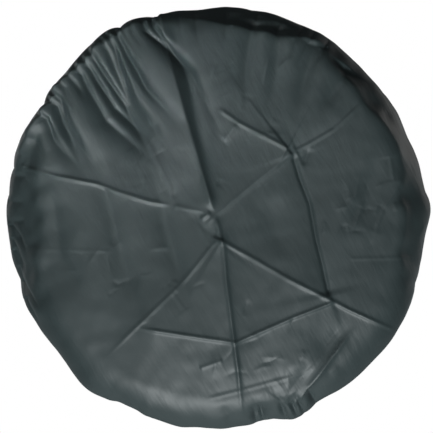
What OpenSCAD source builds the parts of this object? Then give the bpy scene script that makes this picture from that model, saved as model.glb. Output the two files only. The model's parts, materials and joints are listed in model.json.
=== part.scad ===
// Soft cover for a spare wheel: one round cloth, drawn in behind the tyre by an elastic cord that
// runs in a hem tape, leaves it through two eyelets and is held by a sprung cord lock.
// The origin is the centre of the inside of the front face. +Y runs along the wheel's axle towards
// the vehicle, and +Z is up. Modules with "ring" in their name are drawn about the Z axis and are
// turned onto the axle by on_axle().

/* [Tyre] */
// Outside diameter of the tyre that the cover is made for
tyre_d = 686; // [560:2:860]
// Width of the tyre at its sidewalls
tyre_w = 215; // [155:5:305]
// Room left between the tyre and the cloth
slack = 5; // [2:1:12]

/* [Cloth] */
// Thickness of the cloth, coating included
cloth_t = 1; // [0.6:0.1:1.5]
// Radius that the cloth takes over the tyre's shoulders
shoulder_r = 60; // [40:5:80]
// Share of the tyre's radius left open behind the wheel
mouth_share = 0.67; // [0.55:0.01:0.72]

/* [Hem tape] */
// Width of the channel that the cord runs in
channel_w = 14; // [13:1:20]
// Depth of that channel along the axle
channel_h = 7; // [7:0.5:9]
// Thickness of the folded tape
tape_t = 1.2; // [0.8:0.1:1.6]
// How far the tape's two layers lap over the cloth's edge
lap_w = 11; // [8:1:16]

/* [Cord] */
// Diameter of the elastic cord
cord_d = 5; // [4:0.5:5.5]
// Distance between the two eyelets, and between the two holes of the cord lock
cord_gap = 12; // [12:0.5:20]
// Length of the loose cord below the eyelets
tail_l = 88; // [80:1:95]

/* [Cord lock] */
// How far the button travels when it is pressed
button_travel = 3.5; // [2:0.5:4]
/* [Hidden] */
$fn = 96;

cloth_green = [0.17, 0.21, 0.20];
tape_black = [0.09, 0.10, 0.10];
cord_black = [0.05, 0.05, 0.05];
thread_grey = [0.24, 0.28, 0.27];
plastic_black = [0.04, 0.04, 0.045];
nickel = [0.70, 0.70, 0.68];

fit_gap = 0.05; // left between pieces that lie on each other
tiny = 0.01;

// Cloth
inner_r = tyre_d / 2 + slack;
inner_depth = tyre_w + 2 * slack;
lip_mid = inner_depth + cloth_t / 2; // middle of the cloth behind the wheel, along the axle

// Hem tape
mouth_r = mouth_share * tyre_d / 2;
tape_corner = 2;
tube_w = channel_w + 2 * tape_t;
tube_h = channel_h + 2 * tape_t;
cord_ring_r = mouth_r + tube_w / 2;
cloth_edge_r = mouth_r + tube_w + 0.6;
lap_end_r = mouth_r + tube_w + lap_w;
tube_back = lip_mid + tube_h / 2;
lap_h = cloth_t + 2 * tape_t + 4 * fit_gap;
wall_back_inside = tube_back - tape_t; // the channel's rear wall

// Cord and its exits at the bottom of the hem
bend_r = cord_d / 2 + 0.7;
cord_layer = wall_back_inside - 1.1 - bend_r;
eyelet_z = -cord_ring_r;
exit_half_angle = asin((cord_gap / 2 + bend_r) / cord_ring_r);
patch_t = 1;
patch_back = tube_back + fit_gap + patch_t;
eyelet_bore_r = cord_d / 2 + 0.4;
eyelet_barrel_r = eyelet_bore_r + 0.5;
eyelet_flange_r = 5.2;
eyelet_flange_t = 0.8;
washer_t = 0.6;
roll_t = 0.45;
hole_slack = 0.15;

// Loose cord, hanging in a plane behind the hem
hang_y = patch_back + 13.5;
cap_r = 4.5;
cap_l = 16;
knot_r = 3.4;

// Cord lock, measured along the axle from the plane that the tails hang in
lock_drop = 30;
lock_thick = 11;
lock_wide = cord_gap + 12;
lock_front = -11;
lock_back = 7;
lock_wall = 2.05;
button_out = 12;
button_gap = 0.15;
button_foot = 1.6;
spring_wire_r = 0.3;
spring_r = 2.9;
spring_turns = 3;

// Threads
thread_r = 0.35;
inner_row_r = mouth_r + tube_w + 2.5;
outer_row_r = lap_end_r - 2;

// Label
label_w = 24;
label_l = 28;
label_t = 0.5;
label_angle = 25; // from the lowest point of the hem
label_gap = 0.3;

module on_axle() { rotate([-90, 0, 0]) children(); }

// A rounded box profile from the axis out to a radius, between two heights
module drum_profile(radius, low, high, corner) {
    translate([0, low]) square([radius - corner, high - low]);
    translate([0, low + corner]) square([radius, high - low - 2 * corner]);
    for (height = [low + corner, high - corner])
        translate([radius - corner, height]) circle(r = corner);
}

// A rectangle with round corners, its first corner at the origin
module round_rect(width, height, corner) {
    translate([corner, 0]) square([width - 2 * corner, height]);
    translate([0, corner]) square([width, height - 2 * corner]);
    for (x = [corner, width - corner], y = [corner, height - corner])
        translate([x, y]) circle(r = corner);
}

// A slot with round ends, centred, lying along X
module slot(length, width) {
    square([length - width, width], center = true);
    for (side = [-1, 1]) translate([side * (length - width) / 2, 0]) circle(d = width);
}

module cover_shell_ring() {
    rotate_extrude() difference() {
        drum_profile(inner_r + cloth_t, -cloth_t, inner_depth + cloth_t, shoulder_r);
        drum_profile(inner_r, 0, inner_depth, shoulder_r - cloth_t);
        translate([-1, inner_depth / 2]) square([cloth_edge_r + 1, inner_depth]);
    }
}

module cover_shell() {
    color(cloth_green) on_axle() cover_shell_ring();
}

// Folded tape: a tube for the cord, and two layers that hold the cloth's edge between them
module hem_tape_ring() {
    rotate_extrude() difference() {
        union() {
            translate([mouth_r, lip_mid - tube_h / 2]) round_rect(tube_w, tube_h, tape_corner);
            translate([mouth_r + tube_w - tape_t, lip_mid - lap_h / 2])
                square([lap_w + tape_t, lap_h]);
        }
        translate([mouth_r + tape_t, lip_mid - channel_h / 2])
            round_rect(channel_w, channel_h, tape_corner - tape_t / 2);
        translate([cloth_edge_r - fit_gap, lip_mid - cloth_t / 2 - fit_gap])
            square([lap_w + 1, cloth_t + 2 * fit_gap]);
    }
}

module hem_tape() {
    color(tape_black) difference() {
        on_axle() hem_tape_ring();
        at_eyelets() cylinder(r = eyelet_barrel_r + hole_slack, h = 3 * tape_t, center = true);
    }
}

// The two eyelet axes, with local Z along the axle and zero at the rear wall of the tape
module at_eyelets(sides = [-1, 1]) {
    for (side = sides)
        translate([side * cord_gap / 2, tube_back, eyelet_z]) rotate([-90, 0, 0]) children();
}

// One row of lockstitches: the needle thread behind the tape and the bobbin thread in front of it
module thread_rows(row_r, half_height) {
    for (side = [-1, 1])
        translate([0, 0, lip_mid + side * (half_height + thread_r + fit_gap)])
            rotate_extrude() translate([row_r, 0]) circle(r = thread_r, $fn = 24);
}

module hem_thread_inner() {
    color(thread_grey) on_axle() thread_rows(inner_row_r, lap_h / 2);
}

module hem_thread_outer() {
    color(thread_grey) on_axle() thread_rows(outer_row_r, lap_h / 2);
}

// The cord inside the tape, with a quarter bend at each end that turns it out through an eyelet
module hem_cord() {
    arc = 360 - 2 * exit_half_angle;
    color(cord_black) {
        on_axle() translate([0, 0, cord_layer])
            rotate([0, 0, 90 + exit_half_angle]) rotate_extrude(angle = arc)
                translate([cord_ring_r, 0]) circle(d = cord_d, $fn = 48);
        for (side = [-1, 1]) exit_bend(side);
    }
}

// The ball where the bend meets the ring is a little thicker, so that they join as one solid
module exit_bend(side) {
    stub_l = hang_y - cord_d / 2 - 0.1 - (cord_layer + bend_r);
    turn = side * exit_half_angle;
    end_x = side * (cord_gap / 2 + bend_r);
    end_z = -sqrt(cord_ring_r * cord_ring_r - end_x * end_x);
    translate([end_x, cord_layer, end_z]) rotate([0, -turn, 0]) {
        sphere(r = cord_d / 2 + 0.1, $fn = 48);
        translate([0, bend_r, 0]) rotate([0, 0, side < 0 ? -90 : 180])
            rotate_extrude(angle = 90) translate([bend_r, 0]) circle(d = cord_d, $fn = 48);
        translate([-side * bend_r, bend_r, 0]) rotate([-90, 0, 0])
            cylinder(d = cord_d, h = stub_l, $fn = 48);
    }
}

module exit_patch() {
    width = cord_gap + 28;
    height = tube_w - 2 * tape_corner;
    color(tape_black) translate([0, tube_back + fit_gap, eyelet_z]) rotate([-90, 0, 0])
        linear_extrude(patch_t) difference() {
            translate([-width / 2, -height / 2]) round_rect(width, height, 2);
            for (side = [-1, 1]) translate([side * cord_gap / 2, 0])
                circle(r = eyelet_barrel_r + hole_slack);
        }
}

// Two bars of thread, one at each end of the patch
module patch_thread() {
    bar_l = tube_w - 2 * tape_corner - 3;
    bar_x = cord_gap / 2 + 11.5;
    color(thread_grey) for (side = [-1, 1], step = [-0.8, 0.8])
        translate([side * bar_x + step, patch_back + thread_r + fit_gap, eyelet_z])
            cylinder(r = thread_r, h = bar_l, center = true, $fn = 24);
}

module eyelet(side) {
    barrel_top = patch_back - tube_back + fit_gap;
    barrel_low = -tape_t - fit_gap - washer_t - fit_gap;
    color(nickel) at_eyelets([side]) difference() {
        union() {
            translate([0, 0, barrel_top]) cylinder(r = eyelet_flange_r, h = eyelet_flange_t);
            translate([0, 0, barrel_low - roll_t])
                cylinder(r = eyelet_barrel_r, h = barrel_top - barrel_low + roll_t + tiny);
            translate([0, 0, barrel_low - roll_t])
                cylinder(r = eyelet_barrel_r + 0.8, h = roll_t);
        }
        cylinder(r = eyelet_bore_r, h = 30, center = true);
    }
}

module eyelet_washer(side) {
    color(nickel) at_eyelets([side]) translate([0, 0, -tape_t - fit_gap - washer_t])
        difference() {
            cylinder(r = eyelet_flange_r, h = washer_t);
            translate([0, 0, -1])
                cylinder(r = eyelet_barrel_r + hole_slack, h = washer_t + 2);
        }
}

// The label is sewn on behind the wheel and hangs on the outside of the cloth
module at_label() {
    rotate([0, label_angle, 0])
        translate([0, inner_depth + cloth_t + label_gap, -lap_end_r - 1]) children();
}

module care_label() {
    color("white") at_label() translate([-label_w / 2, 0, -label_l])
        cube([label_w, label_t, label_l]);
}

module label_thread() {
    color(thread_grey) at_label()
        translate([0, label_t + thread_r + fit_gap, -2.5]) rotate([0, 90, 0])
            cylinder(r = thread_r, h = label_w - 3, center = true, $fn = 24);
}

// Loose end of the cord, from the eyelet through the lock to a knot inside its cap
module cord_tail(side) {
    knot_drop = tail_l + cap_l - knot_r - 2.4;
    color(cord_black) translate([side * cord_gap / 2, hang_y, eyelet_z]) {
        rotate_extrude() intersection() {
            circle(d = cord_d, $fn = 48);
            square(cord_d);
        }
        translate([0, 0, -knot_drop]) cylinder(d = cord_d, h = knot_drop, $fn = 48);
        translate([0, 0, -knot_drop]) sphere(r = knot_r, $fn = 48);
    }
}

// Bell-shaped cap that hides the knot: it is open below, and the cord enters through its neck
module cord_end(side) {
    neck_l = 5;
    color(plastic_black) translate([side * cord_gap / 2, hang_y, eyelet_z - tail_l - cap_l])
        difference() {
            union() {
                cylinder(r = cap_r, h = cap_l - neck_l, $fn = 64);
                translate([0, 0, cap_l - neck_l])
                    cylinder(r1 = cap_r, r2 = cord_d / 2 + 1, h = neck_l, $fn = 64);
            }
            cylinder(r = cord_d / 2 + 0.15, h = 3 * cap_l, center = true, $fn = 64);
            translate([0, 0, -1]) cylinder(r = knot_r + 0.2, h = cap_l - neck_l, $fn = 64);
        }
}

// Local Y runs along the axle from the plane of the tails, and Z along the cords
module at_lock() {
    translate([0, hang_y, eyelet_z - lock_drop]) children();
}

// A block with a slotted section, drawn from one distance along the axle to another
module lock_block(from, to, wide, thick) {
    translate([0, from, 0]) rotate([-90, 0, 0]) linear_extrude(to - from) slot(wide, thick);
}

module lock_barrel() {
    cavity_wide = lock_wide - 2 * lock_wall;
    cavity_thick = lock_thick - 2 * lock_wall;
    floor_y = lock_front + 1.2;
    color(plastic_black) at_lock() difference() {
        union() {
            lock_block(lock_front, lock_back, lock_wide, lock_thick);
            lock_block(lock_back - 3, lock_back - 1, lock_wide + 1.2, lock_thick + 1.2);
        }
        lock_block(floor_y, lock_back + 1, cavity_wide, cavity_thick);
        for (side = [-1, 1]) translate([side * cord_gap / 2, 0, 0])
            cylinder(d = cord_d + 0.6, h = 2 * lock_thick, center = true);
    }
}

// The plunger. Its two slots let the cords through, and their lower ends pinch the cords
module lock_button() {
    wide = lock_wide - 2 * lock_wall - 2 * button_gap;
    thick = lock_thick - 2 * lock_wall - 2 * button_gap;
    slot_w = cord_d + 0.4;
    slot_low = -cord_d / 2 - fit_gap;
    slot_high = cord_d / 2 + button_travel + 0.15;
    color(plastic_black) at_lock() difference() {
        lock_block(slot_low - button_foot, button_out, wide, thick);
        for (side = [-1, 1]) translate([side * cord_gap / 2, 0, 0])
            translate([0, (slot_low + slot_high) / 2, 0]) rotate([0, 0, 90])
                linear_extrude(2 * thick, center = true) slot(slot_high - slot_low, slot_w);
    }
}

// The lock's spring, at its length with the button released
module lock_spring() {
    low = lock_front + 1.2 + spring_wire_r + fit_gap;
    high = -cord_d / 2 - fit_gap - button_foot - spring_wire_r - fit_gap;
    color("silver") at_lock() rotate([-90, 0, 0]) for (turn = [0 : spring_turns])
        translate([0, 0, low + turn * (high - low) / spring_turns])
            rotate_extrude() translate([spring_r, 0]) circle(r = spring_wire_r, $fn = 24);
}

cover_shell();
hem_tape();
hem_thread_inner();
hem_thread_outer();
hem_cord();
exit_patch();
patch_thread();
eyelet(-1);  // eyelet_left
eyelet(1);  // eyelet_right
eyelet_washer(-1);  // eyelet_washer_left
eyelet_washer(1);  // eyelet_washer_right
care_label();
label_thread();
cord_tail(-1);  // cord_tail_left
cord_tail(1);  // cord_tail_right
cord_end(-1);  // cord_end_left
cord_end(1);  // cord_end_right
lock_barrel();
lock_spring();
lock_button();
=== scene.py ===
"""Looks of the soft spare wheel cover: one round satin cloth, gathered behind by a corded hem.

Lengths are metres in the row frame: +Y runs from the front face to the open back, +Z is up.
A point of the cloth is named by its angle about the axle (0 at +X, a quarter turn at +Z) and by
its reach, the distance from the centre of the flat round cloth measured along the cloth.
"""

import json
from math import asin, atan2, ceil, cos, hypot, log, pi, radians, sin, sqrt

import bmesh
import bpy
import numpy as np
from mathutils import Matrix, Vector


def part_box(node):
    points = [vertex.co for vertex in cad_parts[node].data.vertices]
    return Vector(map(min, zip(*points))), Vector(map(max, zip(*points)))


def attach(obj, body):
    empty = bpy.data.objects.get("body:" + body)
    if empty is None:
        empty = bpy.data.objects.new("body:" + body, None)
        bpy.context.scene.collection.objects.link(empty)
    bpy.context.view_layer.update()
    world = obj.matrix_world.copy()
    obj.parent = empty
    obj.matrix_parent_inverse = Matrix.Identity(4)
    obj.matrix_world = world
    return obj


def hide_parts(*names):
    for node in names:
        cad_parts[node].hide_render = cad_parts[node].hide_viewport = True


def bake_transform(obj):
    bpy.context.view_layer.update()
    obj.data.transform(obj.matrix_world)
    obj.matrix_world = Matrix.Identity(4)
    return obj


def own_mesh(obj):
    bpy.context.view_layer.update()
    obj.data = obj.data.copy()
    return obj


MM = 0.001
SEED = 11

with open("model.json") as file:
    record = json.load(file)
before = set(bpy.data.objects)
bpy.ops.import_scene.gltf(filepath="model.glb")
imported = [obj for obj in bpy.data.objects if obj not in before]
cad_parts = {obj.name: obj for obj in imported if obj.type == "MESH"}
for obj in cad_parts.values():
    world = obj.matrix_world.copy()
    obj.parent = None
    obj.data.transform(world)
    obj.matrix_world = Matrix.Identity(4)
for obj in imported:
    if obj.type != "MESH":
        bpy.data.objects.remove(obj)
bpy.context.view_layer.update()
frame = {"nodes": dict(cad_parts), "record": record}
scene = bpy.context.scene
mounts = {mount["name"]: mount for mount in frame["record"]["mounts"]}

# Sizes read from the frame
shell_low, shell_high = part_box("cover_shell")
tape_low, tape_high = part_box("hem_tape")
RADIUS = shell_high.z
FRONT_Y = shell_low.y
BACK_Y = shell_high.y
MOUTH_R = mounts["wheel_mouth"]["dims"]["r_mm"] * MM
TAPE_END_R = tape_high.z
LIP_Y = (tape_low.y + tape_high.y) / 2

label_low, label_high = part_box("care_label")
patch_low, patch_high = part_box("exit_patch")
eyelet_low, eyelet_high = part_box("eyelet_right")
tail_low, tail_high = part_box("cord_tail_right")
spring_low, spring_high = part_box("lock_spring")
CAP_END_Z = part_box("cord_end_right")[0].z

# The cloth
CLOTH_T = 0.7 * MM
SHOULDER_R = 60 * MM
COLUMNS = 960  # points round the cloth
CORE_R = 250 * MM  # where the mesh turns from a square grid into rings
RING_GAP = 2.2 * MM  # between rings on the front
REAR_GAP = 4.5 * MM  # between rings behind the front shoulder

# Stretches of the cloth's reach: face, front shoulder, tread, rear shoulder, lip
TUCK = 9 * MM  # how far the cloth's edge goes into the tape
FACE_END = RADIUS - SHOULDER_R
SHOULDER_END = FACE_END + SHOULDER_R * pi / 2
TREAD_END = SHOULDER_END + (BACK_Y - FRONT_Y) - 2 * SHOULDER_R
REAR_END = TREAD_END + SHOULDER_R * pi / 2
TAPE_REACH = REAR_END + FACE_END - TAPE_END_R
EDGE_REACH = TAPE_REACH + TUCK

# The hem tape: a tube for the cord, and a lap that holds the cloth's edge between two layers
TAPE_T = 0.8 * MM
TUBE_HALF_W = 8.2 * MM
TUBE_HALF_H = (tape_high.y - tape_low.y) / 2
TUBE_R = MOUTH_R + TUBE_HALF_W
TUBE_SQUARE = 3.2  # exponent of the tube's squarish section, 2 for a round one
LAYER_GAP = 0.1 * MM  # left between layers that lie on each other
LAP_LIFT = TAPE_T / 2 + LAYER_GAP
STITCH_PITCH = 4 * MM
THREAD_R = 0.35 * MM

# The cord, its exit at the bottom of the hem, and the label beside it
CORD_D = 5 * MM
ELBOW_R = 5 * MM
EXIT_X = (eyelet_low.x + eyelet_high.x) / 2
EXITS = {"left": -EXIT_X, "right": EXIT_X}
EXIT_Z = (eyelet_low.z + eyelet_high.z) / 2
HANG_Y = (tail_low.y + tail_high.y) / 2
EXIT_ANGLE = -pi / 2
LABEL_ANGLE = atan2(label_low.z + label_high.z, label_low.x + label_high.x)
LABEL_W = 24 * MM
LABEL_L = 28 * MM
LABEL_T = 0.35 * MM
PATCH_T = 0.8 * MM
EYELET_HOLE_R = 3.5 * MM


def smoothstep(low, high, value):
    """0 below low, 1 above high, and smooth between."""
    t = np.clip((value - low) / (high - low), 0, 1)
    return t * t * (3 - 2 * t)


def around(radius, y, angle):
    """Points at a radius from the axle, at y along it and at an angle about it."""
    return np.stack([radius * np.cos(angle), y, radius * np.sin(angle)], -1)


def bell(gap, width):
    """1 at no gap, falling away smoothly to both sides over a width."""
    return np.exp(-((gap / width) ** 2))


def angle_gap(angle, middle):
    """Signed angle from middle, between minus and plus half a turn."""
    return (angle - middle + pi) % (2 * pi) - pi


# ---- shape of the cloth


def meridian(reach):
    """Radius, y and outward normal (radial, along y) of the smooth cover at a reach."""
    turn = np.clip((reach - FACE_END) / SHOULDER_R, 0, pi / 2)
    turn = turn + np.clip((reach - TREAD_END) / SHOULDER_R, 0, pi / 2)
    flat_front = np.minimum(reach, FACE_END)
    tread = np.clip(reach - SHOULDER_END, 0, TREAD_END - SHOULDER_END)
    lip = np.maximum(reach - REAR_END, 0)
    radius = flat_front + SHOULDER_R * np.sin(turn) - lip
    y = FRONT_Y + SHOULDER_R * (1 - np.cos(turn)) + tread
    return radius, y, np.sin(turn), -np.cos(turn)


class Pleats:
    """Folds that the drawn hem puts into the cloth, each running forward to its own length."""

    COUNT = 66
    DEPTH = 9 * MM
    AT_TAPE = 0.35  # share of the depth left where the tape holds the cloth
    FULL_BEHIND = 40 * MM  # distance from the tape at which the folds are fully deep
    FADE = 110 * MM  # length over which a fold begins at its front end
    RIDGE = 0.45  # height of the ridges between the folds, as a share of the depth
    FULLEST = radians(135)  # where the folds run furthest forward

    def __init__(self, rng):
        step = 2 * pi / self.COUNT
        angle = (np.arange(self.COUNT) + rng.uniform(-0.3, 0.3, self.COUNT)) * step
        lean = rng.normal(0, 0.05, self.COUNT)  # angle gained over 300 mm of cloth
        depth = rng.uniform(0.55, 1.2, self.COUNT)
        share = rng.uniform(0, 1, self.COUNT) ** 1.3
        gathered = bell(angle_gap(angle, self.FULLEST), 0.6)
        front_end = TREAD_END - 40 * MM - 130 * MM * share * (1 + gathered)
        self.folds = list(zip(angle, lean, depth, front_end, self.calmness(angle)))

    @staticmethod
    def calmness(angle):
        """0 where the patch and the label keep the cloth flat, 1 elsewhere."""
        at_exit = smoothstep(0.07, 0.17, np.abs(angle_gap(angle, EXIT_ANGLE)))
        at_label = smoothstep(0.04, 0.1, np.abs(angle_gap(angle, LABEL_ANGLE)))
        return at_exit * at_label

    def height(self, angle, reach):
        """Outward height of the folds: sharp valleys between round ridges."""
        radius = np.maximum(meridian(reach)[0], 100 * MM)
        behind = np.clip(TAPE_REACH - reach, 0, None)
        grow = self.AT_TAPE + (1 - self.AT_TAPE) * smoothstep(0, self.FULL_BEHIND, behind)
        inside = 1 - smoothstep(TAPE_REACH, TAPE_REACH + 25 * MM, reach)
        width = 5 * MM + 0.026 * behind
        total = np.zeros_like(reach)
        for middle, lean, depth, front_end, calm in self.folds:
            shift = lean * behind / (300 * MM)
            gap = np.abs(angle_gap(angle, middle + shift)) * radius
            fade = smoothstep(front_end, front_end + self.FADE, reach)
            total += depth * calm * fade * np.exp(-gap / (width * (0.6 + 0.7 * depth)))
        level = self.RIDGE * self.calmness(angle) * smoothstep(FACE_END, SHOULDER_END, reach)
        return (level - total) * self.DEPTH * grow * inside


class Swell:
    """Soft unevenness of a stretched cloth: plane waves over the flat cloth that add up to a size."""

    def __init__(self, rng, size, longest, shortest, count):
        length = np.exp(rng.uniform(log(shortest), log(longest), count))
        heading = rng.uniform(0, 2 * pi, count)
        phase = rng.uniform(0, 2 * pi, count)
        self.waves = list(zip(length, heading, phase, size * length / length.sum()))

    def height(self, angle, reach):
        """Height at points of the cloth, between plus and minus the size."""
        across = reach * np.cos(angle)
        up = reach * np.sin(angle)
        total = np.zeros_like(reach)
        for length, heading, phase, height in self.waves:
            along = across * cos(heading) + up * sin(heading)
            total += height * np.sin(2 * pi * along / length + phase)
        return total


class Crease:
    """A fold on the front, through points in hundredths of the cover's radius, right and up.

    The fold stands out by height (millimetres, negative for a hollow) and falls away over left
    millimetres to its left, seen walking along it, and over right to its right. Its widths
    change along it by the two factors of widen. Its crest is rounded over tip millimetres, and it
    dies away over the two shares of its length in ends. A pressed fold also has a thin line, raised
    by line millimetres.
    """

    LINE_W = 3 * MM

    def __init__(self, height, left, right, *points, ends=(0.12, 0.12), line=0.0, widen=(1, 1),
                 tip=0.4):
        self.height = height * MM
        self.left = left * MM
        self.right = right * MM
        self.points = np.array(points) / 100 * RADIUS
        self.ends = ends
        self.line = line * MM
        self.widen = widen
        self.tip = tip * MM

    def nearest(self, x, z):
        """Distance to the fold, its sign (above 0 on the left), and share of the fold's length."""
        best = np.full_like(x, np.inf)
        side = np.zeros_like(x)
        along = np.zeros_like(x)
        runs = np.diff(self.points, axis=0)
        lengths = np.hypot(runs[:, 0], runs[:, 1])
        done = 0
        for start, run, length in zip(self.points, runs, lengths):
            dx, dz = x - start[0], z - start[1]
            t = np.clip((dx * run[0] + dz * run[1]) / length**2, 0, 1)
            gap = np.hypot(dx - t * run[0], dz - t * run[1])
            nearer = gap < best
            best = np.where(nearer, gap, best)
            side = np.where(nearer, run[0] * dz - run[1] * dx, side)
            along = np.where(nearer, done + t * length, along)
            done += length
        return best, side, along / lengths.sum()

    def relief(self, x, z):
        """Height of the fold at points of the front."""
        gap, side, share = self.nearest(x, z)
        fade = smoothstep(0, self.ends[0], share) * (1 - smoothstep(1 - self.ends[1], 1, share))
        width = np.where(side > 0, self.left, self.right)
        width = width * (self.widen[0] + (self.widen[1] - self.widen[0]) * share)
        fold = self.height * np.exp(-(np.hypot(gap, self.tip) - self.tip) / width)
        line = self.line * bell(gap, self.LINE_W)
        return fade * (fold + line)


CREASES = [
    # the long fold from the top rim through the middle to the bottom rim
    Crease(10.5, 12, 30, (-27, 98), (-22.5, 76), (-15.5, 51), (-10, 32), (-4.5, 13), (-1, 1),
           ends=(0.05, 0.08), line=0.6, widen=(1.3, 0.5)),
    Crease(-5.5, 12, 12, (-21, 90), (-15, 66), (-10, 45), (-3.5, 20), ends=(0.1, 0.3),
           widen=(1.2, 0.6), tip=5),
    Crease(4, 9, 22, (-1, 1), (3, -13), (4.5, -30), (8, -57), (10, -72), (12.5, -98),
           ends=(0.05, 0.3), line=1.8),
    # the right-hand junction and its four arms
    Crease(3.8, 60, 5, (-6, -5), (-1, 0), (17, 15), (35, 29), ends=(0.12, 0.02), line=0.4),
    Crease(2.2, 30, 20, (0, 50), (10, 43), (33, 31), ends=(0.12, 0.02), line=1.9),
    Crease(-3.4, 12, 16, (36, 30), (43, 33.5), (54, 40), (69, 54), ends=(0.04, 0.2), line=2.4),
    Crease(-3.6, 24, 30, (35, 29), (38.5, 17.5), (43, 6), (46, -11), (49, -23), (52, -37),
           ends=(0.04, 0.05), line=-3.4),
    Crease(-2.5, 5, 6, (43, 32), (40, 23), ends=(0.3, 0.3)),
    # from the middle to the lower right and to the lower left
    Crease(3.6, 40, 45, (0, -10), (16, -19), (32.5, -28.5), (52.5, -38.5), (61, -43), (76.5, -50),
           (90, -56), ends=(0.03, 0.25), line=2.3),
    Crease(2.4, 45, 40, (1, -10), (-17, -32), (-37, -51), (-53, -67), ends=(0.03, 0.4), line=1.5),
    Crease(2.6, 34, 45, (54.5, -39), (35, -46.5), (9, -58), (-15, -54.5), (-37, -51),
           ends=(0.03, 0.1), line=2.2),
    # the double fold that runs into the low right pucker
    Crease(-4.5, 8, 12, (61, -48), (49, -63), (31, -87), ends=(0.2, 0.02), line=2),
    Crease(3.4, 6, 8, (64.5, -50), (53, -65), (35.5, -88), ends=(0.3, 0.02), line=1.8),
    Crease(5, 26, 30, (26, -68), (42, -69), (54, -63), ends=(0.4, 0.4), tip=8),
    # across the upper left
    Crease(2.4, 24, 24, (-93, 24), (-74, 18.5), (-55, 15), (-46, 11.5), (-31.5, 7), (-20, 5),
           ends=(0.05, 0.1), line=2),
    Crease(0.6, 12, 12, (-20, 5), (-3, 1.5), ends=(0.1, 0.1), line=1.1),
    Crease(-1, 8, 8, (-28, 38), (-38, 24), line=1),
    Crease(-1, 12, 12, (-31, 33), (-21, 13), (-19.5, 5), line=1.2),
    # small creases
    Crease(-1.4, 8, 8, (-11, 2), (-8, -5), (-4, -12), (0, -13), line=1.4),
    Crease(1.6, 6, 6, (-8, -2), (-2, 2), ends=(0.3, 0.3), line=2),
    Crease(1.8, 7, 7, (-2, -9), (4, -13), ends=(0.3, 0.3), line=2),
    Crease(2.6, 5, 8, (10, 43), (3, 34), ends=(0.25, 0.25)),
    Crease(-1.6, 8, 10, (80, 28), (82, 16), line=1.2),
    Crease(-2, 8, 12, (86, 16), (78, 5.5), (72.5, -8), line=1.6),
    Crease(-1.6, 8, 8, (68, 4.5), (62, -7), line=1.2),
    Crease(1.8, 10, 6, (53, 3), (60, 4.5), (66, 10), ends=(0.3, 0.3)),
    Crease(-0.6, 8, 8, (60, -19.5), (93, -19), line=0.7),
    Crease(-0.6, 9, 9, (-93, -15), (-45, -16), line=0.6),
    Crease(-1.6, 14, 18, (-5.5, -84.5), (16, -79), (40, -72.5), (45.5, -68.5), line=1.2),
    Crease(1.2, 12, 9, (-8, -70), (3, -66), line=0.7),
    Crease(-1.2, 10, 10, (-24, -30), (-14, -44), line=0.8),
    Crease(-3, 8, 14, (16, -83), (21, -90), (23, -99), ends=(0.4, 0.02), tip=2),
    Crease(-2, 8, 12, (27, -80), (30, -88), (31, -98), ends=(0.4, 0.02), tip=2),
    Crease(-3, 8, 12, (2, -86), (6, -93), (6, -99), ends=(0.4, 0.02), tip=2),
    # broad soft hollows
    Crease(-9, 12, 26, (-58, 42), (-46, -12), (-34, -52), ends=(0.5, 0.4), tip=8),
    Crease(-8, 12, 24, (-34, 34), (-18, -23), (-10, -47), ends=(0.5, 0.4), tip=8),
    Crease(-7, 12, 24, (-80, 30), (-72, -20), (-58, -42), ends=(0.5, 0.4), tip=8),
    Crease(-8, 10, 18, (17, 92), (13, 66), (12, 50), ends=(0.05, 0.6), tip=6),
    Crease(-8, 10, 18, (30, 90), (27, 66), (24, 45), ends=(0.05, 0.6), tip=6),
    Crease(-8, 10, 18, (46, 82), (40, 62), (36, 42), ends=(0.05, 0.6), tip=6),
    Crease(-7, 12, 18, (62, 70), (52, 54), (44, 44), ends=(0.05, 0.6), tip=6),
    Crease(-6, 20, 16, (78, 36), (70, 10), (62, -10), ends=(0.4, 0.5), tip=12),
    Crease(-5, 20, 30, (20, 12), (28, -5), (30, -22), ends=(0.4, 0.4), tip=14),
]


def front_relief(x, z):
    """Height of all the folds on the front, each worked out only where it reaches."""
    total = np.zeros_like(x)
    fall_offs = 5  # a fold is flat beyond this many of its widths
    for crease in creases:
        margin = fall_offs * max(crease.left, crease.right) * max(crease.widen)
        low = crease.points.min(0) - margin
        high = crease.points.max(0) + margin
        near = (x > low[0]) & (x < high[0]) & (z > low[1]) & (z < high[1])
        total[near] += crease.relief(x[near], z[near])
    return total


def stray_creases(rng):
    """Faint short wrinkles, mostly across the pull of the long folds."""
    wrinkles = []
    patches = [  # middle and spread in hundredths of the radius, and how many
        (20, -72, 28, 22), (68, 5, 20, 18), (-45, -25, 30, 16), (15, 55, 30, 14), (-35, 30, 25, 10),
    ]
    for middle_x, middle_z, spread, count in patches:
        for _ in range(count):
            x = middle_x + rng.normal(0, spread / 2)
            z = middle_z + rng.normal(0, spread / 2)
            way = radians(rng.normal(55, 45))
            bend = rng.normal(0, 0.3)
            half = rng.uniform(2, 8)
            start = (x - half * cos(way), z - half * sin(way))
            end = (x + half * cos(way + bend), z + half * sin(way + bend))
            height = rng.choice([-1, 1]) * rng.uniform(0.5, 1.4)
            right = rng.uniform(4, 9)
            wrinkles.append(Crease(height, 3, right, start, (x, z), end, ends=(0.4, 0.4)))
    return wrinkles


def spoke(angle, *distances):
    """Points in one direction from the middle, at distances in hundredths of the radius."""
    return [(distance * cos(angle), distance * sin(angle)) for distance in distances]


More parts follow.
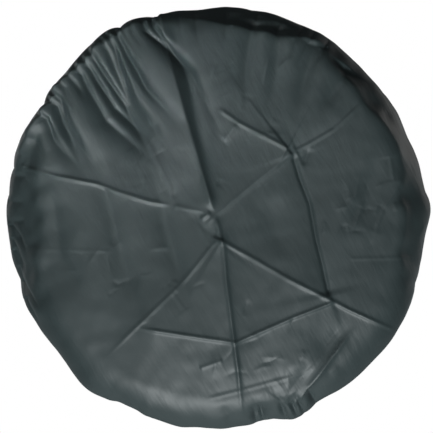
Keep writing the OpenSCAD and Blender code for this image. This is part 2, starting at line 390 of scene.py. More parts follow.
def rim_gathers(rng):
    """Folds drawn in from the rim, most of them at the upper left, where the cloth is fullest.

    Those leave the rim square to it. The long ones then sweep down to the right, at most to the
    cross fold; the short ones are sharp tucks at the rim. Towards the left they thin out.
    """
    folds = []
    angle = 103  # in degrees
    last = angle
    sweep = radians(-60)
    while angle < 176:
        angle += rng.uniform(1.6, 5.6)
        points = spoke(radians(angle), 99, 92)
        x, z = points[1]
        to_cross_fold = max(10, (z - 1.5 + 0.247 * (x + 3)) / 0.75)
        is_long = rng.uniform() < 0.72
        length = min(to_cross_fold, 70) * rng.uniform(0.8, 1.15) if is_long else rng.uniform(6, 18)
        for step in (0.4, 0.6):
            way = sweep + rng.normal(0, 0.13)
            x, z = x + step * length * cos(way), z + step * length * sin(way)
            points.append((x, z))
        depth = rng.uniform(10, 17) if is_long else rng.uniform(4, 8)
        left = rng.uniform(4, 7)
        right = rng.uniform(11, 19) if is_long else rng.uniform(7, 12)
        if angle - last < 5 * smoothstep(142, 152, angle):
            continue
        last = angle
        depth *= 1 - 0.6 * smoothstep(142, 168, angle)
        folds.append(Crease(-depth, left, right, *points, ends=(0.01, 0.7), widen=(0.5, 1.7), tip=2))
    for angle in (57, 62, 66, 71, 79, 87, 97, 101):  # along the top
        points = spoke(radians(angle + rng.uniform(-1.5, 1.5)), 99, 90, 76)
        folds.append(Crease(-rng.uniform(2, 5), 5, 8, *points, ends=(0.01, 0.6), widen=(0.6, 1.6)))
    for angle in (-62, -66, -68, -71, -77, -79):  # bunched at the bottom
        points = spoke(radians(angle), 102, 96, 88)
        folds.append(Crease(-rng.uniform(9, 15), 4, 6, *points, ends=(0.01, 0.6), widen=(0.6, 1.8)))
    for angle in (182, 186, 189, 194, 198, 203):  # at the left
        way = sweep + rng.normal(0, 0.1)
        x, z = spoke(radians(angle), 98.5)[0]
        length = rng.uniform(12, 24)
        points = [(x, z), (x + length * cos(way), z + length * sin(way))]
        folds.append(Crease(-rng.uniform(6, 11), 4, 10, *points, ends=(0.01, 0.7), widen=(0.6, 1.6)))
    return folds


def rim_bumps(angle):
    """Bumps and notches of the outline, where folds run over the rim."""
    bumps = [  # degrees, height in millimetres, half width in degrees
        (2, 6, 4), (10, -3, 5), (28, -6, 10), (52, -8, 12), (62, 1, 6), (85, -5, 20), (105, -8, 9),
        (119, 3, 5), (136, -12, 18), (152, -9, 8), (178, 0, 8), (191, 3, 5), (219, -6, 8), (232, 7, 6),
        (250, 1, 8), (270, 5, 6), (286, -2, 3), (292, 11, 5), (299, -3, 4), (326, 4, 9),
    ]
    total = np.zeros_like(angle)
    for middle, height, half in bumps:
        total += height * MM * bell(angle_gap(angle, radians(middle)), radians(half))
    return total


def pull_back(x, z):
    """How far the drawn cloth falls back behind the face, beyond straight tension folds."""
    folds = [  # heading in degrees, distance and half span in radii, slope, raggedness
        (80, 0.885, 0.34, 2.6, 0.2),
        (2, 0.87, 0.36, 1.9, 0.8),
        (38, 0.875, 0.34, 1.8, 0.6),
        (180, 0.835, 0.36, 3.4, 1.2),
        (213, 0.93, 0.3, 0.8, 1),
    ]
    deepest = 23 * MM
    softness = 12 * MM
    reach = np.hypot(x, z)
    angle = np.arctan2(z, x)
    sidewall = np.maximum(reach / RADIUS - 0.5, 0)
    low = 0.5 - 0.5 * np.sin(angle + radians(20))
    low *= 1 - 0.6 * bell(angle_gap(angle, radians(-125)), radians(24))
    lean = 0.035 * np.clip(z - 0.2 * RADIUS, 0, 0.7 * RADIUS)
    climb = reach * np.cos(angle - radians(112)) / RADIUS
    total = 75 * MM * sidewall**2 * low - lean + 10 * MM * (1 - smoothstep(0.25, 0.85, climb))
    wander = rag.height(angle, reach)
    for heading, distance, half_span, slope, ragged in folds:
        ahead = radians(heading)
        out = x * cos(ahead) + z * sin(ahead) - distance * RADIUS + ragged * wander
        out = (out + np.hypot(out, softness * ragged)) / 2
        across = np.abs(-x * sin(ahead) + z * cos(ahead)) / RADIUS
        mask = 1 - smoothstep(0.7 * half_span, 1.3 * half_span, across)
        total += mask * deepest * (1 - np.exp(-slope * np.maximum(out, 0) / deepest))
    return total


def looseness(angle):
    """1 at the upper left, where the cloth is loose and stands out, and 0 away from there."""
    return np.exp(-((angle_gap(angle, radians(137)) / radians(30)) ** 4))


def fullness(angle, turn):
    """How much of the shoulder's drop is taken back where loose cloth stands out."""
    return looseness(angle) * (1 - smoothstep(radians(50), radians(90), turn))


def puff(angle, reach):
    """How far the loose cloth bulges forward near the rim."""
    past = reach - FACE_END - 50 * MM
    return 16 * MM * looseness(angle) * bell(past, np.where(past < 0, 110 * MM, 46 * MM))


rng = np.random.default_rng(SEED)
pleats = Pleats(rng)
broad_swell = Swell(rng, 6.5 * MM, 260 * MM, 90 * MM, 24)
fine_swell = Swell(rng, 2 * MM, 70 * MM, 24 * MM, 40)
rim_swell = Swell(rng, 6 * MM, 190 * MM, 60 * MM, 24)
ruffle = Swell(rng, 1, 34 * MM, 12 * MM, 24)
creases = CREASES + rim_gathers(rng) + stray_creases(rng)
rag = Swell(rng, 30 * MM, 120 * MM, 36 * MM, 18)


def cloth_points(angle, reach, lift=0.0):
    """Where the points of the cloth are, lifted off it by a distance."""
    radius, y, out_r, out_y = meridian(reach)
    x, z = radius * np.cos(angle), radius * np.sin(angle)
    front = 1 - smoothstep(FACE_END + 40 * MM, SHOULDER_END, reach)
    stretched = 1 - smoothstep(REAR_END - 20 * MM, TAPE_REACH, reach)
    swell = broad_swell.height(angle, reach) + fine_swell.height(angle, reach)
    shoulder = smoothstep(FACE_END - 20 * MM, SHOULDER_END, reach)
    swell += shoulder * (rim_swell.height(angle, reach) + rim_bumps(angle))
    rise = front * front_relief(x, z) + stretched * swell + pleats.height(angle, reach) + lift
    turn = np.arctan2(out_r, -out_y)
    before_tread = reach < SHOULDER_END
    y = y - np.where(before_tread, fullness(angle, turn) * SHOULDER_R * (1 - np.cos(turn)), 0)
    y = y - puff(angle, reach)
    y = y + pull_back(x, z) * (1 - smoothstep(SHOULDER_END, TREAD_END, reach))
    return around(radius + out_r * rise, y + out_y * rise, angle)


# ---- mesh building


def add_mesh(name, points, faces, uv=None, weld=False):
    """A smooth mesh object from points and quads, with an optional map in metres of the flat piece."""
    mesh = bpy.data.meshes.new(name)
    mesh.from_pydata(points.reshape(-1, 3).tolist(), [], faces.reshape(-1, 4).tolist())
    if weld:
        shape = bmesh.new()
        shape.from_mesh(mesh)
        bmesh.ops.remove_doubles(shape, verts=shape.verts, dist=0.001 * MM)
        shape.to_mesh(mesh)
        shape.free()
    mesh.polygons.foreach_set("use_smooth", np.ones(len(mesh.polygons), bool))
    if uv is not None:
        layer = mesh.uv_layers.new(name="flat_cloth")
        corner = np.zeros(len(mesh.loops), np.int32)
        mesh.loops.foreach_get("vertex_index", corner)
        layer.data.foreach_set("uv", uv.reshape(-1, 2)[corner].astype(np.float32).ravel())
    mesh.update()
    piece = bpy.data.objects.new(name, mesh)
    scene.collection.objects.link(piece)
    return piece


def grid(rows, columns):
    """Vertex numbers of a grid of points."""
    return np.arange(rows * columns).reshape(rows, columns)


def strip_faces(index, wrap_rows=False, wrap_columns=False):
    """Quads of a grid of vertex numbers, wrapping round in either direction if asked."""
    index = np.pad(index, ((0, int(wrap_rows)), (0, int(wrap_columns))), "wrap")
    corners = [index[:-1, :-1], index[1:, :-1], index[1:, 1:], index[:-1, 1:]]
    return np.stack(corners, -1).reshape(-1, 4)


def thicken(piece, thickness, offset):
    """Makes a sheet solid: offset -1 adds the thickness below it, 0 half on each side."""
    solid = piece.modifiers.new("thickness", "SOLIDIFY")
    solid.thickness = thickness
    solid.offset = offset
    return solid


def round_edges(piece, width, segments):
    """Bevels the edges of a piece."""
    bevel = piece.modifiers.new("edge", "BEVEL")
    bevel.width = width
    bevel.segments = segments
    return bevel


def flat_cloth():
    """Points and quads of the flat round cloth: a square core that becomes rings."""
    side = COLUMNS // 4
    phi = np.linspace(-pi / 4, pi / 4, side + 1)
    a, b = np.meshgrid(phi, phi, indexing="ij")
    core = CORE_R * sqrt(2) * np.stack([np.sin(a) * np.cos(b), np.cos(a) * np.sin(b)], -1)
    index = grid(side + 1, side + 1)
    rim = np.concatenate([index[side, :-1], index[:0:-1, side], index[0, :0:-1], index[:-1, 0]])
    front_rings = ceil((SHOULDER_END - CORE_R) / RING_GAP)
    rear_rings = ceil((EDGE_REACH - SHOULDER_END) / REAR_GAP)
    rings = front_rings + rear_rings
    angle = -pi / 4 + np.arange(COLUMNS) * 2 * pi / COLUMNS
    front = np.linspace(CORE_R, SHOULDER_END, front_rings + 1)[1:]
    rear = np.linspace(SHOULDER_END, EDGE_REACH, rear_rings + 1)[1:]
    radius = np.concatenate([front, rear])[:, None]
    outer = np.stack([radius * np.cos(angle), radius * np.sin(angle)], -1)
    ring_index = np.concatenate([rim[None], index.size + grid(rings, COLUMNS)])
    points = np.concatenate([core.reshape(-1, 2), outer.reshape(-1, 2)])
    faces = np.concatenate([strip_faces(index), strip_faces(ring_index, wrap_columns=True)])
    return points, faces


def build_cover():
    """The cloth itself, with its own thickness and a coated inside."""
    flat, faces = flat_cloth()
    angle = np.arctan2(flat[:, 1], flat[:, 0])
    reach = np.hypot(flat[:, 0], flat[:, 1])
    cover = add_mesh("cover_cloth", cloth_points(angle, reach), faces, flat)
    solid = thicken(cover, CLOTH_T, -1)
    solid.material_offset = 1
    solid.material_offset_rim = 0
    cover.data.materials.append(satin_material())
    cover.data.materials.append(coating_material())
    finish_piece(cover, "cover", "cover_shell")


def sweep(paths, radius, sides, upright):
    """Points and quads of tubes along paths, given as (tubes, steps, 3).

    The radius is one number, or one for each step and side.
    """
    paths = np.asarray(paths, float)
    ahead = np.gradient(paths, axis=1)
    ahead /= np.linalg.norm(ahead, axis=-1, keepdims=True)
    across = np.cross(ahead, upright)
    across /= np.linalg.norm(across, axis=-1, keepdims=True)
    up = np.cross(across, ahead)
    turn = np.arange(sides) * 2 * pi / sides
    out = across[:, :, None] * np.cos(turn)[:, None] + up[:, :, None] * np.sin(turn)[:, None]
    radius = np.broadcast_to(radius, out.shape[1:3])
    points = paths[:, :, None] + out * radius[..., None]
    count, steps = paths.shape[:2]
    one_tube = strip_faces(grid(steps, sides), wrap_columns=True)
    return points, one_tube + (np.arange(count) * steps * sides)[:, None, None]


def lathe(name, loop, centre, axis):
    """A turned part: a closed loop of (radius, height) in millimetres, smoothed and spun."""
    sides = 40
    loop = np.array(loop) * MM
    turn = np.arange(sides) * 2 * pi / sides
    radius, height = loop[:, 0, None], loop[:, 1, None] + 0 * turn
    one, two = radius * np.cos(turn), radius * np.sin(turn)
    parts = [one, height, -two] if axis == "Y" else [one, two, height]
    points = np.stack(parts, -1) + np.array(centre)
    faces = strip_faces(grid(len(loop), sides), wrap_rows=True, wrap_columns=True)
    piece = add_mesh(name, points, faces)
    smooth = piece.modifiers.new("smooth", "SUBSURF")
    smooth.levels = smooth.render_levels = 1
    return piece


def finish_piece(piece, body, node, material=None):
    """Puts a piece in place of a CAD node, on its body, with a material if one is given."""
    if material:
        piece.data.materials.append(material)
    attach(piece, body)
    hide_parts(node)


def punch_eyelet_holes(piece):
    """Cuts the two eyelet holes through a sheet, behind the middle of the hem."""
    shape = bmesh.new()
    shape.from_mesh(piece.data)
    for x in EXITS.values():
        inside = []
        for face in shape.faces:
            middle = face.calc_center_median()
            if middle.y > LIP_Y and hypot(middle.x - x, middle.z - EXIT_Z) < EYELET_HOLE_R:
                inside.append(face)
        bmesh.ops.delete(shape, geom=inside, context="FACES")
        for vert in shape.verts:
            away = Vector((vert.co.x - x, vert.co.z - EXIT_Z))
            if vert.is_boundary and vert.co.y > LIP_Y and away.length < 1.6 * EYELET_HOLE_R:
                away = away.normalized() * EYELET_HOLE_R
                vert.co.x = x + away.x
                vert.co.z = EXIT_Z + away.y
    shape.to_mesh(piece.data)
    shape.free()


# ---- hem, label and their stitches


def lip_reach(radius):
    """The cloth's reach at a radius on the flat lip behind the wheel."""
    return REAR_END + FACE_END - radius


def lip_points(angle, radius, lift):
    """Points of the cloth at a radius on the lip, lifted off it."""
    return cloth_points(angle, np.full_like(angle, lip_reach(radius)), lift)


def tube_surface(angle, turn):
    """Radius and y of the tape's tube, ruffled by the gathers; turn 0 faces the lap, up is behind."""
    calm = Pleats.calmness(angle)
    wave = calm * ruffle.height(angle, EDGE_REACH + TUBE_HALF_W * turn)
    shift = 0.4 * pleats.height(angle, np.full_like(angle, lip_reach(TUBE_R)))
    across, behind = np.cos(turn), np.sin(turn)
    across = np.sign(across) * np.abs(across) ** (2 / TUBE_SQUARE)
    behind = np.sign(behind) * np.abs(behind) ** (2 / TUBE_SQUARE)
    radius = TUBE_R + (TUBE_HALF_W - TAPE_T / 2) * across + 1.5 * MM * wave
    return radius, LIP_Y + (TUBE_HALF_H - TAPE_T / 2) * behind * (1 + 0.55 * wave) + shift


def build_tape():
    """Folded tape: rear lap, round the cord's channel, and front lap, as one gathered sheet."""
    angle = np.arange(COLUMNS) * 2 * pi / COLUMNS
    lap = np.linspace(TAPE_END_R, TUBE_R + TUBE_HALF_W + 0.5 * MM, 6)
    opening = radians(22)
    rows = [lip_points(angle, radius, LAP_LIFT) for radius in lap]
    for turn in np.linspace(opening, 2 * pi - opening, 30):
        radius, y = tube_surface(angle, np.full_like(angle, turn))
        rows.append(around(radius, y, angle))
    rows += [lip_points(angle, radius, -LAP_LIFT - CLOTH_T) for radius in lap[::-1]]
    points = np.array(rows)
    length = np.linalg.norm(np.diff(points[:, 0], axis=0), axis=-1)
    down = np.concatenate([[0], np.cumsum(length)])
    uv = np.stack(np.meshgrid(angle * TUBE_R, down), -1)
    faces = strip_faces(grid(len(rows), COLUMNS), wrap_columns=True)
    tape = add_mesh("hem_tape_gathered", points, faces, uv)
    punch_eyelet_holes(tape)
    thicken(tape, TAPE_T, 0)
    finish_piece(tape, "cover", "hem_tape", tape_material)


def stitches(name, paths, node):
    """Short raised threads whose ends go down into the cloth."""
    steps = paths.shape[1]
    shape = np.sin(np.linspace(0, pi, steps)) ** 0.5
    shape[[0, -1]] = 0
    points, faces = sweep(paths, (THREAD_R * shape)[:, None], 8, (0, 1, 0))
    piece = add_mesh(name, points, faces, weld=True)
    finish_piece(piece, "cover", node, thread_material)


def stitch_arc(middle, radius, lift):
    """Path of each stitch of a row on the tape, rising from it and going back in."""
    share = np.linspace(-1, 1, 7)
    angle = middle[:, None] + 0.4 * STITCH_PITCH / radius * share
    rise = (0.35 - share**2) * THREAD_R * np.sign(lift)
    return lip_points(angle, radius, lift + rise)


def build_hem_stitches():
    """The two rows of stitches that close the tape over the cloth, seen from both sides."""
    rear = LAP_LIFT + TAPE_T / 2
    front = -rear - CLOTH_T
    for side in ("inner", "outer"):
        row_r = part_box(f"hem_thread_{side}")[1].x - THREAD_R
        count = round(2 * pi * row_r / STITCH_PITCH)
        middle = (np.arange(count) + rng.uniform(-0.08, 0.08, count)) * 2 * pi / count
        paths = [stitch_arc(middle, row_r, rear), stitch_arc(middle, row_r, front)]
        stitches(f"hem_stitches_{side}", np.concatenate(paths), f"hem_thread_{side}")


def patch_surface(x, z):
    """y of the tape's rear, under a point of the patch."""
    inward = (np.hypot(x, z) - TUBE_R) / (TUBE_HALF_W - TAPE_T / 2)
    bulge = (1 - np.clip(np.abs(inward), 0, 0.97) ** TUBE_SQUARE) ** (1 / TUBE_SQUARE)
    return LIP_Y + (TUBE_HALF_H - TAPE_T / 2) * bulge + TAPE_T / 2


def build_patch():
    """Reinforcing patch with two eyelet holes and a bar of stitches at each end."""
    half_w = (patch_high.x - patch_low.x) / 2
    half_h = (patch_high.z - patch_low.z) / 2
    u, v = np.meshgrid(np.linspace(-1, 1, 81), np.linspace(-1, 1, 27), indexing="ij")
    corner = 9  # exponent of the outline: the higher it is, the sharper the corners
    biggest = np.maximum(np.abs(u), np.abs(v))
    rounded = (np.abs(u) ** corner + np.abs(v) ** corner) ** (1 / corner)
    shrink = np.where(rounded > 0, biggest / np.maximum(rounded, 0.001), 1)
    x, z = half_w * u * shrink, half_h * v * shrink
    points = np.stack([x, patch_surface(x, z + EXIT_Z) + LAYER_GAP, z + EXIT_Z], -1)
    faces = strip_faces(grid(*u.shape))
    patch = add_mesh("exit_patch_sewn", points, faces, np.stack([x, z], -1))
    punch_eyelet_holes(patch)
    thicken(patch, PATCH_T, -1)
    round_edges(patch, 0.25 * MM, 2)
    finish_piece(patch, "cover", "exit_patch", tape_material)
    steps = 44
    end_inset = 1.6 * MM
    side_inset = 2.5 * MM
    lift = LAYER_GAP + PATCH_T + 0.15 * MM
    bar_z = np.linspace(end_inset - half_h, half_h - end_inset, steps)
    zigzag = np.where(np.arange(steps) % 2 == 0, -1, 1) * MM
    bars = []
    for side in (-1, 1):
        bar_x = side * (half_w - side_inset) + zigzag
        bar_y = patch_surface(bar_x, bar_z + EXIT_Z) + lift
        bars.append(np.stack([bar_x, bar_y, bar_z + EXIT_Z], -1))
    points, faces = sweep(bars, 0.9 * THREAD_R, 8, (0, 1, 0))
    bars = add_mesh("patch_bar_stitches", points, faces)
    finish_piece(bars, "cover", "patch_thread", thread_material)


def label_points(across, radius, lift):
    """Points of the label: straight across, following the cloth, its free end curling away."""
    turned = across / radius
    reach = lip_reach(radius / np.cos(turned))
    points = cloth_points(LABEL_ANGLE + np.arctan(turned), np.minimum(reach, EDGE_REACH), lift)
    free = (radius - TAPE_END_R) / LABEL_L
    points[..., 1] += 2.2 * MM * free**2 + 0.5 * MM * free * np.sin(across / LABEL_W * 5)
    return points


def build_label():
    """Blank textile label, sewn along its upper edge only."""
    top = TAPE_END_R + 1 * MM
    lift = 2 * LABEL_T
    half_w = LABEL_W / 2
    down = np.linspace(top, top + LABEL_L, 37)
    across, radius = np.meshgrid(np.linspace(-half_w, half_w, 33), down, indexing="ij")
    faces = strip_faces(grid(*across.shape))[:, ::-1]
    uv = np.stack([across, radius], -1)
    label = add_mesh("care_label_blank", label_points(across, radius, lift), faces, uv)
    thicken(label, LABEL_T, -1)
    finish_piece(label, "cover", "care_label", label_material)
    count = 6
    pitch = 3.5 * MM
    half_stitch = 1.3 * MM
    share = np.linspace(-1, 1, 7)
    along = (np.arange(count)[:, None] - (count - 1) / 2) * pitch + half_stitch * share
    rise = lift + (0.5 - share**2) * THREAD_R
    paths = label_points(along, np.full_like(along, top + 2.5 * MM), rise)
    stitches("label_stitches", paths, "label_thread")


# ---- cord and hardware


def braid(along, sides):
    """Radius of a round braided cord, at each step along it and each side."""
    strands = 8
    pitch = 3.4 * MM
    groove = 0.32 * MM
    turn = np.arange(sides) / sides
    left = strands * turn + along[:, None] / pitch
    right = strands * turn - along[:, None] / pitch
    left_on_top = (np.floor(left) + np.floor(right)) % 2 == 0
    height = np.where(left_on_top, np.abs(np.sin(pi * left)), np.abs(np.sin(pi * right)))
    return CORD_D / 2 - groove * (1 - height)


def build_cords():
    """The elastic cord: hidden inside the hem, and its two braided tails, bent at the eyelets."""
    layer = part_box("hem_cord")[0].y + CORD_D / 2 + LAYER_GAP
    bend_r = CORD_D / 2 + 0.7 * MM
    half_gap = asin((EXIT_X + bend_r) / -EXIT_Z)
    angle = np.linspace(EXIT_ANGLE + half_gap, EXIT_ANGLE + 2 * pi - half_gap, 480)
    ring = around(-EXIT_Z, 0 * angle + layer, angle)
    turn = np.linspace(radians(12), pi / 2, 8)
    ends = []
    for side in (1, -1):
        x = side * (EXIT_X + bend_r * (1 - np.sin(turn)))
        ends.append(np.stack([x, layer + bend_r * (1 - np.cos(turn)), 0 * turn + ring[0, 2]], -1))
    path = np.concatenate([ends[0][::-1], ring, ends[1]])
    points, faces = sweep(path[None], CORD_D / 2, 16, (0, 0.02, 1))
    loop = add_mesh("hem_cord_loop", points, faces)
    finish_piece(loop, "cover", "hem_cord", cord_material)
    for name, x in EXITS.items():
        build_tail(name, x, layer + bend_r)


def build_tail(name, x, start_y):
    """One loose end of the cord, from inside the eyelet, over the elbow and down into its cap."""
    step = 0.4 * MM
    sides = 56
    into_cap = 3 * MM
    knot_z = CAP_END_Z + 6 * MM
    knot_half = 2.2 * MM
    straight = np.arange(start_y, HANG_Y - ELBOW_R, step)
    turn = np.arange(0, pi / 2, step / ELBOW_R)
    down = np.arange(EXIT_Z - ELBOW_R, CAP_END_Z + into_cap, -step)
    y = np.concatenate([straight, HANG_Y - ELBOW_R * (1 - np.sin(turn)), 0 * down + HANG_Y])
    z = np.concatenate([0 * straight + EXIT_Z, EXIT_Z - ELBOW_R * (1 - np.cos(turn)), down])
    path = np.stack([0 * y + x, y, z], -1)
    radius = braid(np.arange(len(path)) * step, sides)
    radius = radius * (1 + 0.34 * bell(z - knot_z, knot_half))[:, None]
    radius[[0, -1]] = 0
    points, faces = sweep(path[None], radius, sides, (1, 0, 0))
    tail = add_mesh(f"cord_tail_{name}_braided", points, faces, weld=True)
    tail.data.materials.append(cord_material)
    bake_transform(tail)
    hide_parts(f"cord_tail_{name}")


def build_hardware():
    """Eyelets, washers, cord caps and the lock's coil, and finishes for the lock's mouldings."""
    groove = ((4.5, 0), (4.2, 0.5), (4.5, 1))
    cap_loop = [  # each loop holds (radius, height) in millimetres
        (3.6, 0.2), (3.9, 0), (4.3, 0.1), (4.5, 0.5),
        *((radius, low + up) for low in (2, 4.2, 6.4) for radius, up in groove),
        (4.5, 10), (4.35, 11.2), (3.8, 14.2), (3.5, 15.4), (3.2, 15.9), (2.8, 15.9), (2.65, 15.5),
        (2.65, 12), (2.7, 11.3), (3.4, 10.9), (3.6, 10.3), (3.6, 1),
    ]
    eyelet_loop = [
        (2.9, 1.1), (3.05, 1.6), (3.5, 1.85), (4.2, 1.8), (4.8, 1.55), (5.15, 1.25), (5.2, 1.05),
        (5, 0.98), (3.6, 0.98), (3.4, 0.8), (3.4, -1.7), (3.5, -1.9), (4.1, -1.95), (4.25, -2.15),
        (4.1, -2.35), (3.4, -2.4), (3, -2.3), (2.9, -1.8),
    ]
    washer_loop = [
        (3.6, -1.8), (3.55, -1.6), (3.6, -1.3), (3.8, -1.25), (5, -1.25), (5.15, -1.35),
        (5.2, -1.55), (5.15, -1.8), (5, -1.85), (3.8, -1.85),
    ]
    rings = (("eyelet", "rolled", eyelet_loop), ("eyelet_washer", "pressed", washer_loop))
    metal = nickel_material()
    plastic = plastic_material()
    for name, x in EXITS.items():
        for part, made, loop in rings:
            piece = lathe(f"{part}_{name}_{made}", loop, (x, tape_high.y, EXIT_Z), "Y")
            finish_piece(piece, "cover", f"{part}_{name}", metal)
        cap = lathe(f"cord_end_{name}_ribbed", cap_loop, (x, HANG_Y, CAP_END_Z), "Z")
        finish_piece(cap, "tails", f"cord_end_{name}", plastic)
    build_coil(metal)
    for node in ("lock_barrel", "lock_button"):
        moulding = frame["nodes"][node]
        moulding.data.materials.clear()
        moulding.data.materials.append(plastic)
        bevel = round_edges(moulding, 0.4 * MM, 3)
        bevel.limit_method = "ANGLE"
        bevel.angle_limit = radians(50)
        bevel.harden_normals = True


def build_coil(metal):
    """The lock's spring as a true coil."""
    wire_r = 0.3 * MM
    turns = 3.5
    coil_r = (spring_high.x - spring_low.x) / 2 - wire_r
    length = spring_high.y - spring_low.y
    share = np.linspace(0, 1, 180)
    turn = share * turns * 2 * pi
    centre_z = (spring_low.z + spring_high.z) / 2
    y = spring_low.y + wire_r + share * (length - 2 * wire_r)
    path = np.stack([coil_r * np.cos(turn), y, centre_z + coil_r * np.sin(turn)], -1)
    radius = np.full((len(share), 1), wire_r)
    radius[[0, -1]] = 0
    points, faces = sweep(path[None], radius, 12, (0, 1, 0))
    coil = add_mesh("lock_spring_coil", points, faces, weld=True)
    finish_piece(coil, "lock", "lock_spring", metal)
    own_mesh(coil)


# ---- materials


class Nodes:
    """The nodes of a new material or world, with short ways to add and to join them."""

    def __init__(self, name, library=bpy.data.materials, shader="Principled BSDF"):
        self.owner = library.new(name)
        self.owner.use_nodes = True
        self.tree = self.owner.node_tree
        self.shader = self.tree.nodes[shader]

    def put(self, node, **values):
        """Sets inputs (an underscore stands for a space) and settings, or joins outputs to inputs."""
        for key, value in values.items():
            socket = node.inputs.get(key.replace("_", " "))
            if socket is None:
                setattr(node, key, value)
            elif isinstance(value, bpy.types.NodeSocket):
                self.tree.links.new(value, socket)
            else:
                socket.default_value = value

    def add(self, kind, output, *sources, **values):
        """Adds a node, fed in order by sources and by name, and gives one of its outputs."""
        node = self.tree.nodes.new(f"ShaderNode{kind}")
        for source, socket in zip(sources, node.inputs):
            self.tree.links.new(source, socket)
        self.put(node, **values)
        return node.outputs[output]

    def noise(self, vector, scale, detail=5, **values):
        """Soft noise over a vector."""
        return self.add("TexNoise", "Fac", Vector=vector, Scale=scale, Detail=detail, **values)

    def tones(self, dark, light, share):
        """A colour between two tones."""
        return self.add("Mix", "Result", data_type="RGBA", A=(*dark, 1), B=(*light, 1), Factor=share)

    def waves(self, vector, scale, operation):
        """Threads both ways, as two crossed waves."""
        ways = [self.add("TexWave", "Fac", bands_direction=way, Vector=vector, Scale=scale)
                for way in ("X", "Y")]
        return self.add("Math", "Value", *ways, operation=operation)

    def bump(self, height, depth, strength, **below):
        """Normals bumped to a depth, on top of others if given."""
        return self.add("Bump", "Normal", Height=height, Distance=depth, Strength=strength, **below)

    def finish(self, **values):
        """Sets the shader's inputs and gives the material or world."""
        self.put(self.shader, **values)
        return self.owner


def satin_material():
    """Dark green-grey satin: fine weave, crinkles, a cool sheen and uneven gloss, dull edge-on."""
    satin = Nodes("satin_cloth")
    flat = satin.add("UVMap", "UV", uv_map="flat_cloth")
    cloud = satin.noise(flat, 14)
    gloss = satin.add("MapRange", "Result", Value=cloud, To_Min=0.46, To_Max=0.58)
    edge_on = satin.add("LayerWeight", "Facing")
    dulled = satin.add("MapRange", "Result", Value=edge_on, From_Min=0.4, From_Max=0.85, To_Max=0.4)
    pull = satin.add("Mapping", "Vector", vector_type="TEXTURE", Vector=flat,
                     Rotation=(0, 0, radians(-62)), Scale=(2.2, 0.5, 1))
    weave = satin.bump(satin.waves(flat, 150, "MULTIPLY"), 0.1 * MM, 0.15)
    crinkle = satin.noise(pull, 55, Distortion=0.3)
    return satin.finish(
        Base_Color=satin.tones((0.027, 0.04, 0.041), (0.037, 0.053, 0.055), cloud),
        Roughness=satin.add("Math", "Value", gloss, dulled, operation="ADD"),
        Normal=satin.bump(crinkle, 1.1 * MM, 0.5, Normal=weave),
        Specular_IOR_Level=0.55,
        Sheen_Weight=0.04,
        Sheen_Roughness=0.4,
        Sheen_Tint=(0.75, 0.9, 1, 1),
    )


def coating_material():
    """The waterproof coating inside: smooth, paler and duller than the outside."""
    coating = Nodes("inner_coating")
    cloud = coating.add("TexNoise", "Fac", Scale=9, Detail=6)
    tone = coating.tones((0.085, 0.095, 0.095), (0.12, 0.13, 0.13), cloud)
    return coating.finish(Base_Color=tone, Roughness=0.6)


def woven_material(name, dark, light, threads, roughness):
    """Plain weave, from crossed waves over the piece's own map in metres."""
    cloth = Nodes(name)
    flat = cloth.add("UVMap", "UV", uv_map="flat_cloth")
    tone = cloth.tones(dark, light, cloth.noise(flat, 120))
    weave = cloth.waves(flat, threads, "ADD")
    shade = cloth.add("Mix", "Result", data_type="RGBA", blend_type="MULTIPLY", Factor=0.35,
                      A=tone, B=weave)
    normal = cloth.bump(weave, 0.15 * MM, 0.7)
    return cloth.finish(Base_Color=shade, Normal=normal, Roughness=roughness, Sheen_Weight=0.15)


def fibre_material(name, dark, light, scale):
    """Spun or braided fibre: fine streaks in colour and in bump."""
    fibre = Nodes(name)
    streaks = fibre.noise(fibre.add("TexCoord", "Object"), scale, Roughness=0.8)
    tone = fibre.tones(dark, light, streaks)
    normal = fibre.bump(streaks, 0.1 * MM, 0.5)
    return fibre.finish(Base_Color=tone, Normal=normal, Roughness=0.65, Sheen_Weight=0.2)


def nickel_material():
    """Nickel plate, lightly scuffed."""
    nickel = Nodes("nickel_plate")
    cloud = nickel.noise(nickel.add("TexCoord", "Object"), 900)
    tone = nickel.tones((0.5, 0.49, 0.46), (0.66, 0.65, 0.62), cloud)
    gloss = nickel.add("MapRange", "Result", Value=cloud, To_Min=0.2, To_Max=0.42)
    return nickel.finish(Base_Color=tone, Roughness=gloss, Metallic=1)


def plastic_material():
    """Black moulded plastic with a fine spark-eroded grain."""
    plastic = Nodes("moulded_plastic")
    place = plastic.add("TexCoord", "Object")
    tone = plastic.tones((0.012, 0.012, 0.013), (0.022, 0.022, 0.024), plastic.noise(place, 600))
    grain = plastic.bump(plastic.noise(place, 3500, 2), 0.05 * MM, 0.35)
    return plastic.finish(Base_Color=tone, Normal=grain, Roughness=0.38)


# ---- stage


COOL = (0.95, 0.99, 1)
WARM = (1, 0.99, 0.97)
LIGHTS = [  # name, place, what it points at, side in metres, watts, tint, and degrees of beam
    ("low_front", (0, -2.1, -2.2), (0, 0, 0), 0.6, 86, COOL),
    ("front_fill", (-0.2, -3, 0.55), (0, 0, 0), 0.8, 8, COOL),
    ("upper_left", (-1.5, -1.5, 0.9), (0, 0, 0), 0.5, 3, COOL),
    ("gather_light", (-1.2, -2, -1), (-0.08, 0, 0.22), 0.25, 0.2, COOL, 14),
    ("rear_fill", (0.3, 2.6, 0.3), (0, 0.2, 0), 1.2, 40, WARM),
    ("rear_left", (-2, 2.2, 0.7), (0, 0.1, 0), 1.2, 30, WARM),
    ("rear_right", (2, 2.2, 0.7), (0, 0.1, 0), 1.2, 30, WARM),
]


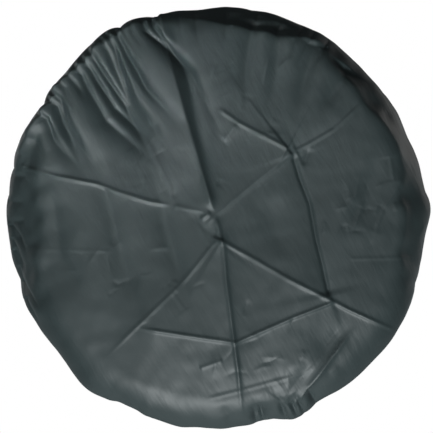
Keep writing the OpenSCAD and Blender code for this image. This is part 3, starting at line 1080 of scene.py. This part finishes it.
def stage_material():
    """White to the camera, dim to everything else, so that the dark shoulders stay dark."""
    stage = Nodes("pale_stage")
    stage.put(stage.shader, Base_Color=(0.5, 0.5, 0.5, 1), Roughness=1)
    matt = stage.shader.outputs["BSDF"]
    glow = stage.add("Emission", "Emission")
    seen = stage.add("LightPath", "Is Camera Ray")
    both = stage.add("MixShader", "Shader", seen, matt, glow)
    stage.put(stage.tree.nodes["Material Output"], Surface=both)
    return stage.owner


def add_light(name, place, aim, side, watts, tint, beam=180):
    """A soft square light that the camera doesn't see, with a beam in degrees."""
    data = bpy.data.lights.new(name, "AREA")
    data.shape = "SQUARE"
    data.size = side
    data.energy = watts
    data.color = tint
    data.spread = radians(beam)
    light = bpy.data.objects.new(name, data)
    light.location = place
    light.rotation_euler = (Vector(aim) - Vector(place)).to_track_quat("-Z", "Y").to_euler()
    light.visible_camera = False
    scene.collection.objects.link(light)


def build_stage():
    """A pale floor far below the cover, a world that is dim to all but the camera, and the lights."""
    reach = 6
    floor_z = -9 * RADIUS
    corners = [(-reach, -reach), (reach, -reach), (reach, reach), (-reach, reach)]
    points = np.array([(x, y, floor_z) for x, y in corners])
    floor = add_mesh("floor", points, np.arange(4))
    floor.data.materials.append(stage_material())
    world = Nodes("studio", bpy.data.worlds, "Background")
    seen = world.add("LightPath", "Is Camera Ray")
    level = world.add("MapRange", "Result", Value=seen, To_Min=0.03, To_Max=1)
    scene.world = world.finish(Color=(1, 1, 1, 1), Strength=level)
    for light in LIGHTS:
        add_light(*light)


def build_camera():
    """Square on to the face, with the cover filling the frame."""
    data = bpy.data.cameras.new("camera")
    data.lens = 90
    filled = 0.9765  # share of the frame's width
    camera = bpy.data.objects.new("camera", data)
    half_frame = data.sensor_width / 2 / data.lens
    away = RADIUS / (half_frame * filled)
    camera.location = (0, SHOULDER_R - away, 0)
    camera.rotation_euler = (pi / 2, 0, 0)
    scene.collection.objects.link(camera)
    scene.camera = camera


tape_material = woven_material("hem_webbing", (0.02, 0.024, 0.024), (0.032, 0.037, 0.036), 330, 0.7)
label_material = woven_material("label_satin", (0.62, 0.62, 0.6), (0.74, 0.74, 0.71), 260, 0.5)
thread_material = fibre_material("sewing_thread", (0.06, 0.075, 0.07), (0.1, 0.12, 0.11), 1800)
cord_material = fibre_material("braided_cord", (0.012, 0.013, 0.013), (0.035, 0.037, 0.037), 1500)
build_cover()
build_tape()
build_hem_stitches()
build_patch()
build_label()
build_cords()
build_hardware()
build_stage()
build_camera()
scene.view_settings.view_transform = "Standard"
